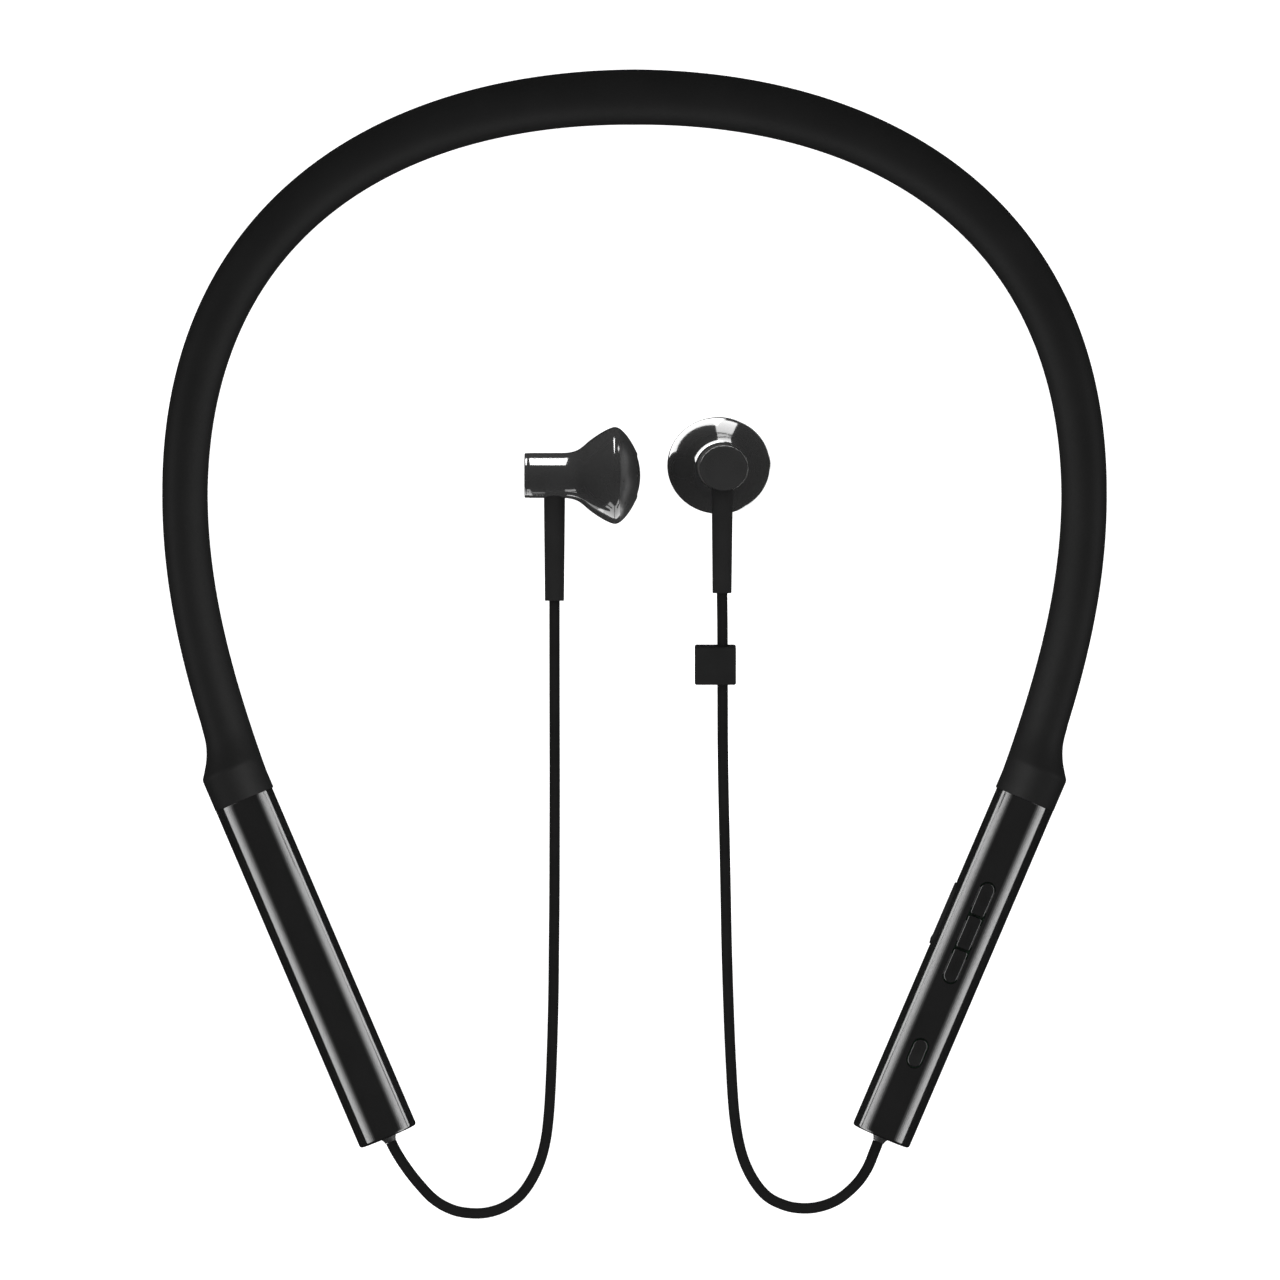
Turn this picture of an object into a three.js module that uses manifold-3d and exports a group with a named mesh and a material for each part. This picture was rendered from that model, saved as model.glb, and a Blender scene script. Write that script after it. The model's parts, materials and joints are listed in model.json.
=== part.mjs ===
// Neckband earphones lying flat on a table: a soft neckband, two round barrels with the
// electronics, and two earbuds on thin cords. Millimetres, +Z up, +Y towards the nape.
// The origin is the middle of the footprint on the table.
import * as THREE from "three";
import { mergeVertices } from "three/addons/utils/BufferGeometryUtils.js";
import Module from "manifold-3d";

const wasm = await Module();
wasm.setup();

// ---------------------------------------------------------------- driving dimensions
const GAP = 0.3; // clearance between pieces that touch on the real object

const BAND_LENGTH_TO_WIDEST = 104; // along the band, from its middle to its widest point
const BAND = {
  rear: [0, 78.5, 3.4], // middle of the band at the nape
  rearHandle: [38.6, 78.5, 3.44],
  sideHandle: [69, 59.2, 3.5],
  side: [69, 17.5, 3.5], // widest point
  frontHandle: [69, 3.6, 3.5],
  cuffHandle: [65.7, -10, 3.66],
  cuff: [59.8, -26.3, 4.4],
};
const BAND_HALF_WIDTH = { rear: 4.26, side: 3.5, cuff: 3.66 };
const BAND_HALF_HEIGHT = { rear: 3.4, side: 3.5, cuff: 3.58 };
const BAND_SIDES = 16;
const HINGE_ALONG = 30.4; // where each arm of the band flexes, measured along the band
const KNUCKLE = { radius: 4.08, halfHeight: 3.42, clearance: 0.4 };

const BORE = { halfWidth: 1.1, halfHeight: 2.1 }; // oval channel through the band
const CORE = { radius: 0.65, lift: -1.05 };
const LINK_CABLE = { radius: 0.7, lift: 1.05 };

const BARREL = {
  joint: [59.8, -29.4, 4.72], // where the band's cuff meets the right tube
  tilt: THREE.MathUtils.degToRad(23.2), // the barrels lean in towards each other
  length: 56.2,
  radius: 4.68,
  innerRadius: 3.9,
  endRound: 0.4,
  sides: 24,
};
const CUFF = { radius: 4.72, straight: 5.1, length: 10.4 };
const STEM = { radius: 2.35, length: 5.2 };
const CAP_DEPTH = 4.2;

const CHASSIS = { outer: 3.55, inner: 3.25, top: -8, bottom: -50, rim: THREE.MathUtils.degToRad(18) };
const BOARD = { width: 5.6, thickness: 0.8, top: -8.5, bottom: -48.5, floor: 1.35 };
const KEYS = { count: 3, length: 5.2, width: 2.15, pitch: 5.55, middle: -22.1, proud: 0.2 };
const KEY_SLOT = { length: 16.8, width: 2.65 };
const WINDOW = { length: 4.3, width: 2.1, middle: -42.1 };
const PORT = { length: 10.2, height: 3.2, middle: -20.9, proud: 0.25, floor: 3.3 };
const SOCKET = { width: 7.4, height: 2.35, depth: 4.6, mouth: -2.9, middle: -0.125, wall: 0.25 };

const EARBUD = {
  oval: 1.07, // the head is a little taller than wide
  stemRadius: 3.45,
  headRadius: 7.45,
  tip: 13.19, // from the strain relief's axis to the tip of the grille
  sides: 20,
};
const RELIEF = { root: 1.62, end: 1.45, start: 1.9, length: 17.3 };
const LEFT_EARBUD = [-12.25, 20.36, EARBUD.headRadius * EARBUD.oval];
const RIGHT_EARBUD = [13.4, 21.52, EARBUD.tip];
const RIGHT_LEAN = [2.6, 2.7].map(THREE.MathUtils.degToRad); // about X, then about Y

const CORD_RADIUS = 0.825;
const CORD_STEPS = 40;
// Route of each cord, from the end of its barrel, across the table, up to its earbud.
const LEFT_CORD = [
  [-37.35, -81.79, 4.72], [-36.7, -83.1, 4.64], [-35.3, -85.4, 4.05], [-33.3, -88.1, 3],
  [-30.8, -90.8, 1.75], [-28, -92.4, 1], [-25.2, -92.95, 0.84], [-22.4, -92.8, 0.84],
  [-19.7, -91.8, 0.84], [-17.2, -89.8, 0.84], [-15.1, -86.4, 0.84], [-13.85, -82.6, 0.84],
  [-13.2, -78, 0.84], [-12.8, -71, 0.84], [-12.5, -61, 0.84], [-12.38, -51, 0.84],
  [-12.31, -43, 0.95], [-12.28, -35, 1.7], [-12.25, -27, 3.2], [-12.25, -19, 5.1],
  [-12.25, -11, 6.8], [-12.25, -4, 7.75], [-12.25, 0.86, 7.97],
];
const RIGHT_CORD = [
  [37.35, -81.79, 4.72], [36.85, -83.1, 4.64], [35.7, -85.9, 4], [34, -88.4, 3],
  [31.4, -90.7, 1.75], [28.6, -91.9, 1], [25.8, -92.2, 0.84], [23, -91.7, 0.84],
  [20.2, -90.2, 0.84], [17.9, -87.2, 0.84], [16.3, -83.2, 0.84], [15.32, -77.5, 0.84],
  [14.77, -69, 0.84], [14.41, -60, 0.95], [14.15, -51.5, 1.95], [13.98, -43.5, 3.85],
  [13.8, -35.5, 6.1], [13.62, -28, 8.05], [13.5, -20.5, 9.5], [13.47, -14.5, 10.45],
  [13.45, -8.6, 11.32], [13.43, -3, 12], [13.4, -0.3, 12.2], [13.36, 2.04, 12.31],
];
const CLIP = {
  width: 6.3, length: 5.8, height: 3.8, bore: 1.15, boreSide: 1.1, slotSide: -1.75, slot: 0.9,
  mouth: 1.3,
};
const CLIP_CENTRE = [13.45, -8.6, 11.32];
const CLIP_SLOPE = Math.atan(0.14); // the cord falls this steeply where the clip sits

// ---------------------------------------------------------------- materials
const finish = (color, roughness, metalness = 0) =>
  new THREE.MeshStandardMaterial({ color, roughness, metalness });
const FINISH = {
  silicone: finish(0x232424, 0.75),
  tube: finish(0x161718, 0.18, 0.1),
  gloss: finish(0x1e1f20, 0.12),
  satin: finish(0x202122, 0.45),
  cord: finish(0x1b1c1c, 0.5),
  springSteel: finish(0xa8abad, 0.3, 1),
  steel: finish(0xc2c4c6, 0.3, 1),
  magnet: finish(0x8f9295, 0.35, 1),
  plastic: finish(0x2b2c2d, 0.55),
  board: finish(0x14532a, 0.5),
  cell: finish(0x9aa0a4, 0.35, 0.8),
  lens: finish(0x2a2d30, 0.1),
  diaphragm: finish(0x6d6f66, 0.4),
};

// ---------------------------------------------------------------- geometry helpers
const vector = ([x, y, z]) => new THREE.Vector3(x, y, z);

// Turns an outline of [radius, height] pairs around the Y axis.
const turned = (outline, sides, start = 0) =>
  new THREE.LatheGeometry(outline.map(([r, y]) => new THREE.Vector2(r, y)), sides, start);

// A solid round bar along Y, with a flat at its lowest side.
const bar = (radius, low, high, sides = 20) =>
  turned([[0, low], [radius, low], [radius, high], [0, high]], sides, Math.PI / sides);

const block = (width, length, height, x, y, z) =>
  new THREE.BoxGeometry(width, length, height).translate(x, y, z);

// A slot outline with round ends, its length along Y.
function roundSlot(length, width) {
  const radius = width / 2;
  const reach = length / 2 - radius;
  const shape = new THREE.Shape();
  shape.absarc(0, reach, radius, 0, Math.PI);
  shape.absarc(0, -reach, radius, Math.PI, 2 * Math.PI);
  shape.closePath();
  return shape;
}

const extruded = (shape, depth, curveSegments = 4) =>
  new THREE.ExtrudeGeometry(shape, { depth, curveSegments, bevelEnabled: false });

function toSolid(geometry) {
  const bare = geometry.clone();
  bare.deleteAttribute("normal");
  bare.deleteAttribute("uv");
  const merged = mergeVertices(bare, 1e-4);
  const corners = merged.index.array;
  const faces = [];
  for (let i = 0; i < corners.length; i += 3) {
    const [a, b, c] = corners.slice(i, i + 3);
    if (a !== b && b !== c && c !== a) faces.push(a, b, c);
  }
  return new wasm.Manifold(new wasm.Mesh({
    numProp: 3,
    vertProperties: merged.getAttribute("position").array,
    triVerts: new Uint32Array(faces),
  }));
}

function toGeometry(solid) {
  const mesh = solid.getMesh();
  const geometry = new THREE.BufferGeometry();
  geometry.setAttribute("position", new THREE.BufferAttribute(mesh.vertProperties, 3));
  geometry.setIndex(new THREE.BufferAttribute(mesh.triVerts, 1));
  return geometry;
}

// Joins the geometries in `add`, then cuts away those in `remove`.
function shaped(add, remove = []) {
  const [first, ...others] = add.map(toSolid);
  const joined = others.reduce((whole, piece) => whole.add(piece), first);
  return toGeometry(remove.reduce((whole, cut) => whole.subtract(toSolid(cut)), joined));
}

const common = (a, b) => toGeometry(toSolid(a).intersect(toSolid(b)));

// The same piece for the other side of the object, seen in a mirror at X = 0.
function mirrored(geometry) {
  const other = geometry.clone().scale(-1, 1, 1);
  const corners = other.index.array;
  for (let i = 0; i < corners.length; i += 3) {
    [corners[i], corners[i + 1]] = [corners[i + 1], corners[i]];
  }
  return other;
}

function piece(name, geometry, material) {
  const mesh = new THREE.Mesh(geometry, material);
  mesh.name = name;
  return mesh;
}

// ---------------------------------------------------------------- neckband
// A point on the right barrel's axis, `up` millimetres above its joint with the band.
function barrelPoint(up) {
  const [x, y, z] = BARREL.joint;
  return [x + up * Math.sin(BARREL.tilt), y + up * Math.cos(BARREL.tilt), z];
}

function pathOf(curves) {
  const path = new THREE.CurvePath();
  curves.forEach((points) => {
    const ends = points.map(vector);
    path.add(ends.length === 2 ? new THREE.LineCurve3(...ends) : new THREE.CubicBezierCurve3(...ends));
  });
  return path;
}

const REAR_CURVE = [BAND.rear, BAND.rearHandle, BAND.sideHandle, BAND.side];
const bandPath = pathOf([REAR_CURVE, [BAND.side, BAND.frontHandle, BAND.cuffHandle, BAND.cuff]]);
const channelPath = pathOf([
  REAR_CURVE,
  [BAND.side, BAND.frontHandle, barrelPoint(STEM.length + 10), barrelPoint(STEM.length)],
  [barrelPoint(STEM.length), barrelPoint(-7.5)],
]);

// The point `along` millimetres from the middle of the band: negative is the left side.
function alongPath(path, along) {
  const share = Math.min(Math.abs(along) / path.getLength(), 1);
  const point = path.getPoint(share);
  return along < 0 ? point.setX(-point.x) : point;
}

function bandSize(sizes, along) {
  const reach = Math.abs(along);
  const rest = bandPath.getLength() - BAND_LENGTH_TO_WIDEST;
  return reach < BAND_LENGTH_TO_WIDEST
    ? THREE.MathUtils.lerp(sizes.rear, sizes.side, reach / BAND_LENGTH_TO_WIDEST)
    : THREE.MathUtils.lerp(sizes.side, sizes.cuff, Math.min((reach - BAND_LENGTH_TO_WIDEST) / rest, 1));
}

// A closed tube bent along a path, whose half width and half height may change on the way.
function bent({ path, from, to, steps, sides, halfWidth, halfHeight, lift = 0 }) {
  const outline = [[0, 0]];
  for (let i = 0; i <= steps; i++) outline.push([1, i / steps]);
  outline.push([0, 1]);
  const geometry = turned(outline, sides);
  const position = geometry.getAttribute("position");
  const nudge = 0.05;
  for (let i = 0; i < position.count; i++) {
    const along = THREE.MathUtils.lerp(from, to, position.getY(i));
    const centre = alongPath(path, along);
    const heading = alongPath(path, along + nudge).sub(alongPath(path, along - nudge)).normalize();
    const side = position.getX(i) * halfWidth(along);
    position.setXYZ(
      i,
      centre.x + side * heading.y,
      centre.y - side * heading.x,
      centre.z + lift + position.getZ(i) * halfHeight(along),
    );
  }
  return geometry;
}

const bandStretch = (from, to, steps) => bent({
  path: bandPath,
  from,
  to,
  steps,
  sides: BAND_SIDES,
  halfWidth: (along) => bandSize(BAND_HALF_WIDTH, along),
  halfHeight: (along) => bandSize(BAND_HALF_HEIGHT, along),
});

const channelStretch = (from, to, steps, { halfWidth, halfHeight, lift }, sides = 8) => bent({
  path: channelPath,
  from,
  to,
  steps,
  sides,
  halfWidth: () => halfWidth,
  halfHeight: () => halfHeight,
  lift,
});

const wire = (from, to, steps, { radius, lift }) =>
  channelStretch(from, to, steps, { halfWidth: radius, halfHeight: radius, lift }, 6);

// The ball that closes an arm at its flex point, or the cup that receives it.
function knuckle(along, grow = 0) {
  const centre = alongPath(bandPath, along);
  const radius = KNUCKLE.radius + grow;
  return new THREE.SphereGeometry(1, 16, 10)
    .rotateX(Math.PI / 2)
    .scale(radius, radius, KNUCKLE.halfHeight + grow)
    .translate(centre.x, centre.y, centre.z);
}

// Puts a piece made around the Y axis onto the right barrel's axis.
const ontoBarrel = (geometry) =>
  geometry.rotateZ(-BARREL.tilt).translate(...BARREL.joint);

function sleeveRear() {
  return shaped(
    [bandStretch(-HINGE_ALONG, HINGE_ALONG, 12)],
    [
      knuckle(HINGE_ALONG, KNUCKLE.clearance),
      knuckle(-HINGE_ALONG, KNUCKLE.clearance),
      channelStretch(-HINGE_ALONG, HINGE_ALONG, 12, BORE),
    ],
  );
}

function sleeveArm() {
  const cuff = ontoBarrel(turned([
    [0, 0],
    [CUFF.radius - 0.2, 0],
    [CUFF.radius, 0.2],
    [CUFF.radius, CUFF.straight],
    [CUFF.radius - 0.2, CUFF.straight + 0.5],
    [CUFF.radius - 1.35, CUFF.straight + 2],
    [CUFF.radius - 2.25, CUFF.length - 1.7],
    [CUFF.radius - 2.9, CUFF.length],
    [0, CUFF.length],
  ], 20));
  const stemSocket = ontoBarrel(bar(STEM.radius + GAP, -1, STEM.length + GAP, 16));
  const mouth = channelPath.getLength() - STEM.length - 7.5;
  return shaped(
    [bandStretch(HINGE_ALONG, bandPath.getLength(), 18), knuckle(HINGE_ALONG), cuff],
    [stemSocket, channelStretch(HINGE_ALONG - 6, mouth + 1, 18, BORE)],
  );
}

function neckband() {
  const group = new THREE.Group();
  const innerEnd = HINGE_ALONG - KNUCKLE.radius - KNUCKLE.clearance - GAP;
  const armStart = HINGE_ALONG - KNUCKLE.radius + 0.7;
  const cableEnd = channelPath.getLength() - 0.5;
  const coreEnd = channelPath.getLength() - 9.5;
  const arm = sleeveArm();
  const armCore = wire(armStart, coreEnd, 18, CORE);
  const armCable = wire(armStart, cableEnd, 18, LINK_CABLE);
  group.add(
    piece("sleeve_rear", sleeveRear(), FINISH.silicone),
    piece("sleeve_right", arm, FINISH.silicone),
    piece("sleeve_left", mirrored(arm), FINISH.silicone),
    piece("spring_core_rear", wire(-innerEnd, innerEnd, 10, CORE), FINISH.springSteel),
    piece("spring_core_right", armCore, FINISH.springSteel),
    piece("spring_core_left", mirrored(armCore), FINISH.springSteel),
    piece("link_cable_rear", wire(-innerEnd, innerEnd, 10, LINK_CABLE), FINISH.cord),
    piece("link_cable_right", armCable, FINISH.cord),
    piece("link_cable_left", mirrored(armCable), FINISH.cord),
  );
  return group;
}

// ---------------------------------------------------------------- barrels
// A barrel is built around the Y axis with its band end at Y = 0 and its cord end below.
const tubeBlank = () => turned([
  [BARREL.innerRadius, -BARREL.length],
  [BARREL.radius - BARREL.endRound, -BARREL.length],
  [BARREL.radius, -BARREL.length + BARREL.endRound],
  [BARREL.radius, -GAP],
  [BARREL.innerRadius, -GAP],
  [BARREL.innerRadius, -BARREL.length],
], BARREL.sides, Math.PI / BARREL.sides);

// A round-ended opening through the top wall of the tube.
const topOpening = (length, width, middle) =>
  extruded(roundSlot(length, width), 3).translate(0, middle, 3);

// A round-ended prism that runs in from the inner side of the tube.
const sidePrism = (length, height, middle, from, depth) =>
  extruded(roundSlot(length, height), depth).rotateY(Math.PI / 2).translate(from, middle, 0);

function rightTube() {
  return shaped([tubeBlank()], [
    topOpening(KEY_SLOT.length, KEY_SLOT.width, KEYS.middle),
    topOpening(WINDOW.length + 0.5, WINDOW.width + 0.5, WINDOW.middle),
    sidePrism(PORT.length + 2 * GAP, PORT.height + 2 * GAP, PORT.middle, -6, 3),
  ]);
}

function trough() {
  const shape = new THREE.Shape();
  shape.absarc(0, 0, CHASSIS.outer, Math.PI - CHASSIS.rim, 2 * Math.PI + CHASSIS.rim, false);
  shape.absarc(0, 0, CHASSIS.inner, 2 * Math.PI + CHASSIS.rim, Math.PI - CHASSIS.rim, true);
  shape.closePath();
  return extruded(shape, CHASSIS.top - CHASSIS.bottom, 8)
    .rotateX(Math.PI / 2)
    .translate(0, CHASSIS.top, 0);
}

function rightChassis() {
  const ribHeight = 0.9;
  const ribs = [-11, -46].map((y) =>
    block(2 * CHASSIS.inner, 1.5, ribHeight, 0, y, BOARD.floor - GAP - ribHeight / 2));
  const socketRoom = block(7, PORT.length + 2 * GAP, 6, -1, PORT.middle, 1);
  return shaped([trough(), ...ribs], [socketRoom]);
}

function bandJoiner() {
  const outer = turned([
    [0, -6.5],
    [CHASSIS.outer, -6.5],
    [CHASSIS.outer, -2 * GAP],
    [STEM.radius, -2 * GAP],
    [STEM.radius, STEM.length],
    [0, STEM.length],
  ], 20);
  const cableHole = bar(LINK_CABLE.radius + 0.25, -7, STEM.length + 1, 10).translate(0, 0, LINK_CABLE.lift);
  const coreHole = bar(CORE.radius + 0.25, -4, STEM.length + 1, 10).translate(0, 0, CORE.lift);
  return shaped([outer], [cableHole, coreHole]);
}

// The cap closes the tube, and a flared rubber grommet in its middle holds the cord.
const GROMMET = { radius: 1.25, face: -BARREL.length - 0.2 };

function endCap() {
  const face = -BARREL.length + GAP;
  return turned([
    [GROMMET.radius + GAP, face],
    [CHASSIS.outer, face],
    [CHASSIS.outer, face + CAP_DEPTH],
    [GROMMET.radius + GAP, face + CAP_DEPTH],
    [GROMMET.radius + GAP, face],
  ], 20);
}

const cordGrommet = () => turned([
  [0, GROMMET.face - GAP],
  [0.95, GROMMET.face - GAP],
  [GROMMET.radius, GROMMET.face + 0.3],
  [GROMMET.radius, GROMMET.face + CAP_DEPTH],
  [0, GROMMET.face + CAP_DEPTH],
], 16);

function barrelShells(side, tube, chassis) {
  return [
    piece(`barrel_tube_${side}`, tube, FINISH.tube),
    piece(`chassis_${side}`, chassis, FINISH.plastic),
    piece(`band_joiner_${side}`, bandJoiner(), FINISH.steel),
    piece(`end_cap_${side}`, endCap(), FINISH.gloss),
    piece(`cord_grommet_${side}`, cordGrommet(), FINISH.satin),
  ];
}

function batteryPieces() {
  const cell = turned([
    [0, -43],
    [2.9, -43],
    [2.9, -9.6],
    [1.1, -9.4],
    [1.1, -8.8],
    [0, -8.8],
  ], 20);
  return [
    piece("battery_cell", cell, FINISH.cell),
    piece("protection_board", block(5, 5, BOARD.thickness, 0, -46.5, 0), FINISH.board),
  ];
}

function chargingSocket() {
  const { width, height, depth, mouth, middle, wall } = SOCKET;
  const shell = block(depth, width, height, mouth + depth / 2, PORT.middle, middle);
  const cavityDepth = depth - 0.6;
  const cavity = block(
    cavityDepth + 1, width - 2 * wall, height - 2 * wall,
    mouth + cavityDepth / 2 - 0.5, PORT.middle, middle,
  );
  const tongue = block(cavityDepth, 3.6, 0.6, mouth + cavityDepth / 2 + 0.3, PORT.middle, middle);
  return toGeometry(toSolid(shell).subtract(toSolid(cavity)).add(toSolid(tongue)));
}

// A key or lens whose top follows the round of the tube, `proud` millimetres above it.
const roundTopped = (length, width, middle, floor, proud) => common(
  extruded(roundSlot(length, width), 3).translate(0, middle, floor),
  bar(BARREL.radius + proud, -BARREL.length, 0, BARREL.sides),
);

const KEY_NAMES = ["volume_up", "play", "volume_down"];
const keyMiddle = (index) => KEYS.middle + (1 - index) * KEYS.pitch;

function controlPieces() {
  const deck = BOARD.floor + BOARD.thickness + GAP;
  const boardMiddle = (BOARD.top + BOARD.bottom) / 2;
  const board = block(
    BOARD.width, BOARD.top - BOARD.bottom, BOARD.thickness,
    0, boardMiddle, BOARD.floor + BOARD.thickness / 2,
  );
  const onDeck = (width, length, height, y) => block(width, length, height, 0, y, deck + height / 2);
  const portCover = common(
    sidePrism(PORT.length, PORT.height, PORT.middle, -6, 6 - PORT.floor),
    bar(BARREL.radius + PORT.proud, -BARREL.length, 0, BARREL.sides),
  );
  const keys = KEY_NAMES.flatMap((name, index) => [
    piece(`key_${name}`, roundTopped(KEYS.length, KEYS.width, keyMiddle(index), 3.3, KEYS.proud), FINISH.satin),
    piece(`switch_${name}`, onDeck(2.6, 3.4, 0.55, keyMiddle(index)), FINISH.steel),
  ]);
  return [
    ...keys,
    piece("main_board", board, FINISH.board),
    piece("radio_shield_can", block(4, 10, 0.9, 0, -35, BOARD.floor - GAP - 0.45), FINISH.steel),
    piece("microphone", onDeck(2.6, 3, 0.9, -36), FINISH.steel),
    piece("status_led", onDeck(1.6, 0.8, 0.5, WINDOW.middle), FINISH.lens),
    piece("led_window", roundTopped(WINDOW.length, WINDOW.width, WINDOW.middle, 3.4, 0), FINISH.lens),
    piece("charging_socket", chargingSocket(), FINISH.steel),
    piece("port_cover", portCover, FINISH.satin),
  ];
}

function barrels() {
  const left = new THREE.Group();
  left.add(...barrelShells("left", tubeBlank(), trough()), ...batteryPieces());
  const right = new THREE.Group();
  right.add(...barrelShells("right", rightTube(), rightChassis()), ...controlPieces());
  const [x, y, z] = BARREL.joint;
  left.position.set(-x, y, z);
  left.rotation.z = BARREL.tilt;
  right.position.set(x, y, z);
  right.rotation.z = -BARREL.tilt;
  return [left, right];
}

// ---------------------------------------------------------------- earbuds
// An earbud is built around the Y axis with its grille towards +Y. The strain relief
// leaves the stem along +X at Y = 0.
function rearHousing() {
  const shell = turned([
    [2.65, -3.9],
    [EARBUD.stemRadius - 0.05, -3.9],
    [EARBUD.stemRadius + 0.1, 3.2],
    [4.75, 4.6],
    [6.3, 6.5],
    [7.2, 8.1],
    [EARBUD.headRadius, 9.1],
    [6.85, 9.1],
    [6.5, 8.1],
    [5.6, 6.6],
    [4, 4.9],
    [2.75, 3.5],
    [2.65, -3.9],
  ], EARBUD.sides);
  const reliefHole = bar(RELIEF.root + GAP, 1.5, 5, 16).rotateZ(-Math.PI / 2);
  return shaped([shell], [reliefHole]);
}

const stemCap = () => turned([
  [0, -4.6], [3.15, -4.6], [3.38, -4.4], [3.38, -4.2], [2.35, -4.2], [2.35, -2.9], [0, -2.9],
], EARBUD.sides);

const frontCover = () => turned([
  [6.85, 9.4], [EARBUD.headRadius, 9.4], [EARBUD.headRadius - 0.2, 9.9], [5.85, 11.4],
  [4.75, 12.1], [3.85, 12.6], [3.3, 12.6], [3.35, 12.2], [5.2, 11], [6.85, 9.4],
], EARBUD.sides);

const grille = () => turned([
  [0, 11.9], [3, 11.9], [3, 12.75], [1.7, 13.1], [0, EARBUD.tip],
], EARBUD.sides);

const driverBasket = () => turned([
  [2.9, 6.9], [4.4, 6.9], [5.3, 7.5], [6, 8.4], [6, 8.8], [5.5, 8.8], [4.3, 7.4],
  [2.9, 7.4], [2.9, 6.9],
], 16);

const diaphragm = () => turned([
  [0, 9.15], [5.3, 9.1], [5.3, 9.3], [2.5, 9.6], [0, 9.85],
], 16);

const strainRelief = () => turned([
  [0, RELIEF.start],
  [RELIEF.root, RELIEF.start],
  [RELIEF.root, 4.6],
  [RELIEF.end + 0.05, RELIEF.start + RELIEF.length - 0.3],
  [RELIEF.end - 0.2, RELIEF.start + RELIEF.length],
  [0, RELIEF.start + RELIEF.length],
], 12).rotateZ(-Math.PI / 2);

function earbud(side) {
  const group = new THREE.Group();
  group.add(
    piece(`rear_housing_${side}`, rearHousing(), FINISH.gloss),
    piece(`stem_cap_${side}`, stemCap(), FINISH.gloss),
    piece(`front_cover_${side}`, frontCover(), FINISH.gloss),
    piece(`grille_${side}`, grille(), FINISH.steel),
    piece(`driver_basket_${side}`, driverBasket(), FINISH.steel),
    piece(`driver_magnet_${side}`, bar(2.55, 5.2, 7.6, 16), FINISH.magnet),
    piece(`diaphragm_${side}`, diaphragm(), FINISH.diaphragm),
    piece(`strain_relief_${side}`, strainRelief(), FINISH.satin),
  );
  group.scale.z = EARBUD.oval;
  return group;
}

// The left earbud lies on its side with the grille towards +X, and the right one stands
// on its grille. Both strain reliefs point towards -Y.
function earbuds() {
  const left = earbud("left");
  left.rotation.z = -Math.PI / 2;
  left.position.set(...LEFT_EARBUD);
  const rightBody = earbud("right");
  rightBody.rotation.z = -Math.PI / 2;
  const right = new THREE.Group();
  right.add(rightBody);
  right.rotation.y = Math.PI / 2;
  const leaning = new THREE.Group();
  leaning.add(right);
  leaning.rotation.set(...RIGHT_LEAN, 0, "YXZ");
  leaning.position.set(...RIGHT_EARBUD);
  return [left, leaning];
}

// ---------------------------------------------------------------- cords and clip
function cord(points) {
  const section = new THREE.Shape().absarc(0, 0, CORD_RADIUS, 0, 2 * Math.PI);
  return new THREE.ExtrudeGeometry(section, {
    steps: CORD_STEPS,
    curveSegments: 4,
    extrudePath: new THREE.CatmullRomCurve3(points.map(vector)),
    bevelEnabled: false,
  });
}

// The clip runs on the right cord, and its open slot takes the left cord.
function cableClip() {
  const { width, length, height, bore, boreSide, slotSide, slot, mouth } = CLIP;
  const body = block(width, length, height, -boreSide, 0, 0);
  const cuts = [
    bar(bore, -length, length, 12),
    bar(slot, -length, length, 12).translate(slotSide - boreSide, 0, 0),
    block(width, 2 * length, mouth, slotSide - boreSide - width / 2, 0, 0),
  ];
  return shaped([body], cuts);
}

function cordPieces() {
  const clip = piece("cable_clip", cableClip(), FINISH.satin);
  clip.position.set(...CLIP_CENTRE);
  clip.rotation.x = CLIP_SLOPE;
  return [
    piece("cord_left", cord(LEFT_CORD), FINISH.cord),
    piece("cord_right", cord(RIGHT_CORD), FINISH.cord),
    clip,
  ];
}

const earphones = new THREE.Group();
earphones.add(neckband(), ...barrels(), ...earbuds(), ...cordPieces());
export default earphones;
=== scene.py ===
import json
import math

import bmesh
import bpy
from mathutils import Matrix, Vector

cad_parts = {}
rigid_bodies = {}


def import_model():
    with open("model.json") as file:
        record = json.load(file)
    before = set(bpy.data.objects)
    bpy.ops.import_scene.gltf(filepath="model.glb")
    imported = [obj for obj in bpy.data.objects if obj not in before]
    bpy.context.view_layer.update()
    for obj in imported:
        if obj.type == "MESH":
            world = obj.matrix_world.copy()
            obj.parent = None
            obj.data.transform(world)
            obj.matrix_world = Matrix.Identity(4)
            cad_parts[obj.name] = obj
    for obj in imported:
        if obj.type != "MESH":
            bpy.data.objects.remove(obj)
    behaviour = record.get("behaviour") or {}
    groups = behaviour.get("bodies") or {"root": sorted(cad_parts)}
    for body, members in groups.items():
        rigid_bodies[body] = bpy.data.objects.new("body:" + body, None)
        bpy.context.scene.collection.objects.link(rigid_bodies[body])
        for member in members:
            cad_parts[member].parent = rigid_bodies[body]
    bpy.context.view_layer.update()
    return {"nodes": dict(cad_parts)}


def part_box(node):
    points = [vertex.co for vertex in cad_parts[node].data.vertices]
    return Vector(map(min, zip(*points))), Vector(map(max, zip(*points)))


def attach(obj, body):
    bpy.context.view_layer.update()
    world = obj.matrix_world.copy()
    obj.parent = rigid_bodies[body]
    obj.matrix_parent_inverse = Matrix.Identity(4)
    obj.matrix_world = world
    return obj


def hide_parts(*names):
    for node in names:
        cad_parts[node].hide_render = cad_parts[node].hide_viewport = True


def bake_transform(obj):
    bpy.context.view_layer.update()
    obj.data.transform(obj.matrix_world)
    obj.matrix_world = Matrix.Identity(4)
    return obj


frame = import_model()

MM = 0.001
SIDES = ("left", "right")

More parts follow.
